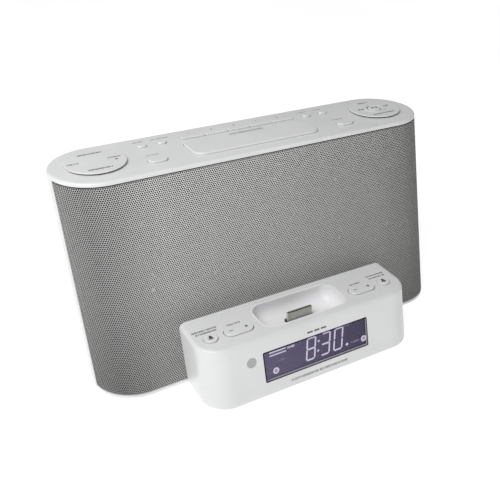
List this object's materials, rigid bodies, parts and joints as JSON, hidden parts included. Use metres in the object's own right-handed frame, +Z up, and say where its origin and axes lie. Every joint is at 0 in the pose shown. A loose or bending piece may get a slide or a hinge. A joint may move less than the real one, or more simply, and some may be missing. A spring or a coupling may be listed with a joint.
{
  "type": "clock radio",
  "caption": "Leaning speaker cabinet with rounded ends, a wrapped perforated grille, keys on top and a front module with a dock well and a lit clock display.",
  "frame": {"origin": "middle of the bounding box, on the surface that the feet stand on", "axes": "+X along the cabinet to the right seen from the front, +Y to the back, +Z up"},
  "size_m": [0.3, 0.1446, 0.1577],
  "materials": {
    "white_plastic": "satin white moulded ABS",
    "key_plastic": "satin white moulded ABS",
    "black_plastic": "matt black",
    "grille_metal": "perforated sheet, silver grey paint",
    "clear_window": "clear acrylic with a dark border",
    "lcd_glass": "blue-violet negative liquid crystal panel",
    "backlight": "white light guide",
    "smoked_lens": "smoked grey",
    "connector_metal": "dull plated steel shell",
    "circuit_board": "green solder resist",
    "bare_aluminium": "extruded",
    "tin_plate": "tinned",
    "ferrite": "dark ceramic",
    "copper_wire": "enamelled copper winding",
    "ribbon_cable": "flat ribbon",
    "cell_steel": "nickel plated",
    "screw_steel": "zinc plated",
    "foot_rubber": "matt",
    "speaker_steel": "black pressed steel",
    "surround_rubber": "matt",
    "cone_paper": "coated paper pulp"
  },
  "bodies": {
    "cabinet": {"antenna_coil": "copper_wire", "audio_jack": "black_plastic", "base_plate": "white_plastic", "battery_holder": "black_plastic", "coin_cell": "cell_steel", "display_board": "circuit_board", "display_window": "clear_window", "dock_board": "circuit_board", "dock_connector": "connector_metal", "dock_well": "white_plastic", "ferrite_rod": "ferrite", "front_grille": "grille_metal", "heat_sink": "bare_aluminium", "key_board": "circuit_board", "key_ribbon": "ribbon_cable", "key_switches": "black_plastic", "lcd_backlight": "backlight", "lcd_panel": "lcd_glass", "main_board": "circuit_board", "module_base": "white_plastic", "module_case": "white_plastic", "pad_brackets": "black_plastic", "power_inlet": "black_plastic", "rear_shell": "white_plastic", "rubber_feet": "foot_rubber", "screws": "screw_steel", "sensor_lens": "smoked_lens", "speaker_baffle": "black_plastic", "speaker_frame_left": "speaker_steel", "speaker_frame_right": "speaker_steel", "speaker_magnet_left": "ferrite", "speaker_magnet_right": "ferrite", "speaker_surround_left": "surround_rubber", "speaker_surround_right": "surround_rubber", "top_cover": "white_plastic", "tuner_module": "tin_plate"},
    "snooze_bar": {"snooze_bar": "key_plastic"},
    "right_pad_button": {"right_pad_button": "key_plastic"},
    "preset_key_1": {"preset_key_1": "key_plastic"},
    "preset_key_2": {"preset_key_2": "key_plastic"},
    "preset_key_3": {"preset_key_3": "key_plastic"},
    "preset_key_4": {"preset_key_4": "key_plastic"},
    "preset_key_5": {"preset_key_5": "key_plastic"},
    "top_key_alarm_set": {"top_key_alarm_set": "key_plastic"},
    "top_key_sleep": {"top_key_sleep": "key_plastic"},
    "top_key_clock": {"top_key_clock": "key_plastic"},
    "top_key_band": {"top_key_band": "key_plastic"},
    "oval_key_left": {"oval_key_left": "key_plastic"},
    "oval_key_right": {"oval_key_right": "key_plastic"},
    "alarm_key_left": {"alarm_key_left": "key_plastic"},
    "alarm_key_right": {"alarm_key_right": "key_plastic"},
    "left_gimbal": {"left_gimbal": "black_plastic"},
    "left_pad": {"left_pad": "key_plastic"},
    "right_gimbal": {"right_gimbal": "black_plastic"},
    "right_pad": {"right_pad": "key_plastic"},
    "rocker_left": {"rocker_left": "key_plastic"},
    "rocker_right": {"rocker_right": "key_plastic"},
    "cone_left": {"speaker_cone_left": "cone_paper"},
    "cone_right": {"speaker_cone_right": "cone_paper"},
    "battery_cover": {"battery_cover": "white_plastic"}
  },
  "joints": [
    {"name": "snooze_bar_press", "type": "slide", "parent": "cabinet", "child": "snooze_bar", "axis": [0, 0, 1], "range_m": [-0.0007, 0], "stiffness_N_per_m": 700, "springref_m": 0.0005},
    {"name": "right_pad_button_press", "type": "slide", "parent": "cabinet", "child": "right_pad_button", "axis": [0, 0, 1], "range_m": [-0.0007, 0], "stiffness_N_per_m": 400, "springref_m": 0.0005},
    {"name": "preset_key_1_press", "type": "slide", "parent": "cabinet", "child": "preset_key_1", "axis": [0, 0, 1], "range_m": [-0.0007, 0], "stiffness_N_per_m": 400, "springref_m": 0.0005},
    {"name": "preset_key_2_press", "type": "slide", "parent": "cabinet", "child": "preset_key_2", "axis": [0, 0, 1], "range_m": [-0.0007, 0], "stiffness_N_per_m": 400, "springref_m": 0.0005},
    {"name": "preset_key_3_press", "type": "slide", "parent": "cabinet", "child": "preset_key_3", "axis": [0, 0, 1], "range_m": [-0.0007, 0], "stiffness_N_per_m": 400, "springref_m": 0.0005},
    {"name": "preset_key_4_press", "type": "slide", "parent": "cabinet", "child": "preset_key_4", "axis": [0, 0, 1], "range_m": [-0.0007, 0], "stiffness_N_per_m": 400, "springref_m": 0.0005},
    {"name": "preset_key_5_press", "type": "slide", "parent": "cabinet", "child": "preset_key_5", "axis": [0, 0, 1], "range_m": [-0.0007, 0], "stiffness_N_per_m": 400, "springref_m": 0.0005},
    {"name": "top_key_alarm_set_press", "type": "slide", "parent": "cabinet", "child": "top_key_alarm_set", "axis": [0, 0, 1], "range_m": [-0.0007, 0], "stiffness_N_per_m": 400, "springref_m": 0.0005},
    {"name": "top_key_sleep_press", "type": "slide", "parent": "cabinet", "child": "top_key_sleep", "axis": [0, 0, 1], "range_m": [-0.0007, 0], "stiffness_N_per_m": 400, "springref_m": 0.0005},
    {"name": "top_key_clock_press", "type": "slide", "parent": "cabinet", "child": "top_key_clock", "axis": [0, 0, 1], "range_m": [-0.0007, 0], "stiffness_N_per_m": 400, "springref_m": 0.0005},
    {"name": "top_key_band_press", "type": "slide", "parent": "cabinet", "child": "top_key_band", "axis": [0, 0, 1], "range_m": [-0.0007, 0], "stiffness_N_per_m": 400, "springref_m": 0.0005},
    {"name": "oval_key_left_press", "type": "slide", "parent": "cabinet", "child": "oval_key_left", "axis": [0, 0, 1], "range_m": [-0.0007, 0], "stiffness_N_per_m": 400, "springref_m": 0.0005},
    {"name": "oval_key_right_press", "type": "slide", "parent": "cabinet", "child": "oval_key_right", "axis": [0, 0, 1], "range_m": [-0.0007, 0], "stiffness_N_per_m": 400, "springref_m": 0.0005},
    {"name": "alarm_key_left_press", "type": "slide", "parent": "cabinet", "child": "alarm_key_left", "axis": [0, 0, 1], "range_m": [-0.0007, 0], "stiffness_N_per_m": 400, "springref_m": 0.0005},
    {"name": "alarm_key_right_press", "type": "slide", "parent": "cabinet", "child": "alarm_key_right", "axis": [0, 0, 1], "range_m": [-0.0007, 0], "stiffness_N_per_m": 400, "springref_m": 0.0005},
    {"name": "left_pad_rock_front_back", "type": "hinge", "parent": "cabinet", "child": "left_gimbal", "pos_m": [-0.117, 0.03925, 0.1483], "axis": [1, 0, 0], "range_deg": [-2, 2], "stiffness_Nm_per_rad": 0.4},
    {"name": "left_pad_rock_left_right", "type": "hinge", "parent": "left_gimbal", "child": "left_pad", "pos_m": [-0.117, 0.03925, 0.1483], "axis": [0, 1, 0], "range_deg": [-2, 2], "stiffness_Nm_per_rad": 0.4},
    {"name": "right_pad_rock_front_back", "type": "hinge", "parent": "cabinet", "child": "right_gimbal", "pos_m": [0.117, 0.03925, 0.1483], "axis": [1, 0, 0], "range_deg": [-2, 2], "stiffness_Nm_per_rad": 0.4},
    {"name": "right_pad_rock_left_right", "type": "hinge", "parent": "right_gimbal", "child": "right_pad", "pos_m": [0.117, 0.03925, 0.1483], "axis": [0, 1, 0], "range_deg": [-2, 2], "stiffness_Nm_per_rad": 0.4},
    {"name": "rocker_left_tilt", "type": "hinge", "parent": "cabinet", "child": "rocker_left", "pos_m": [-0.0538, -0.0451, 0.0424], "axis": [0, 1, 0], "range_deg": [-3, 3], "stiffness_Nm_per_rad": 0.15},
    {"name": "rocker_right_tilt", "type": "hinge", "parent": "cabinet", "child": "rocker_right", "pos_m": [0.0528, -0.0451, 0.0424], "axis": [0, 1, 0], "range_deg": [-3, 3], "stiffness_Nm_per_rad": 0.15},
    {"name": "cone_left_travel", "type": "slide", "parent": "cabinet", "child": "cone_left", "axis": [0, -0.9744, 0.225], "range_m": [-0.001, 0.001], "stiffness_N_per_m": 1500},
    {"name": "cone_right_travel", "type": "slide", "parent": "cabinet", "child": "cone_right", "axis": [0, -0.9744, 0.225], "range_m": [-0.001, 0.001], "stiffness_N_per_m": 1500},
    {"name": "battery_cover_slide", "type": "slide", "parent": "cabinet", "child": "battery_cover", "axis": [0, 1, 0], "range_m": [0, 0.036]}
  ]
}
